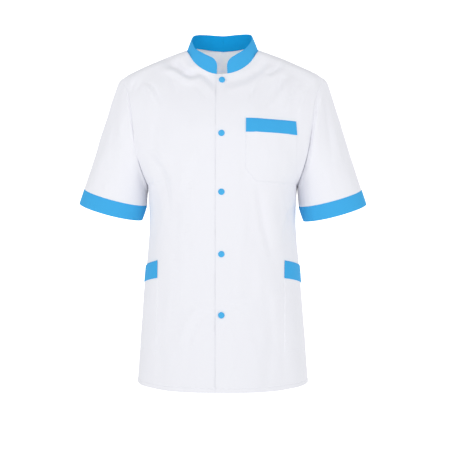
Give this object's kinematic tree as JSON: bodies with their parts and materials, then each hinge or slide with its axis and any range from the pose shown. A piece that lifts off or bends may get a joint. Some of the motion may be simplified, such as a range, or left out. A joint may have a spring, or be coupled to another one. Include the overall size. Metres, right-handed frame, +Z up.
{
  "type": "medical tunic",
  "caption": "Short-sleeved medical tunic with a stand collar, snap front, chest pocket and side pockets, white cloth with blue collar, cuffs and pocket bands.",
  "frame": {"origin": "midway between the two shoulder points at the foot of the neck, where the wearer's shoulders and neck hold the tunic", "axes": "+X to the wearer's left, -Y out of the front, +Z up"},
  "size_m": [0.639, 0.2896, 0.7832],
  "materials": {
    "white_cloth": "matt, close twill weave",
    "blue_cloth": "matt, close twill weave",
    "blue_snap": "smooth, satin"
  },
  "bodies": {
    "root": {"front_left": "white_cloth", "front_right": "white_cloth", "back": "white_cloth", "sleeve_left": "white_cloth", "sleeve_right": "white_cloth", "cuff_left": "blue_cloth", "cuff_right": "blue_cloth", "collar": "blue_cloth", "chest_pocket": "white_cloth", "chest_pocket_band": "blue_cloth", "side_pocket_left": "white_cloth", "side_pocket_right": "white_cloth", "side_pocket_band_left": "blue_cloth", "side_pocket_band_right": "blue_cloth", "snap_1": "blue_snap", "snap_2": "blue_snap", "snap_3": "blue_snap", "snap_4": "blue_snap", "snap_5": "blue_snap", "snap_back_1": "blue_snap", "snap_back_2": "blue_snap", "snap_back_3": "blue_snap", "snap_back_4": "blue_snap", "snap_back_5": "blue_snap"}
  },
  "joints": []
}
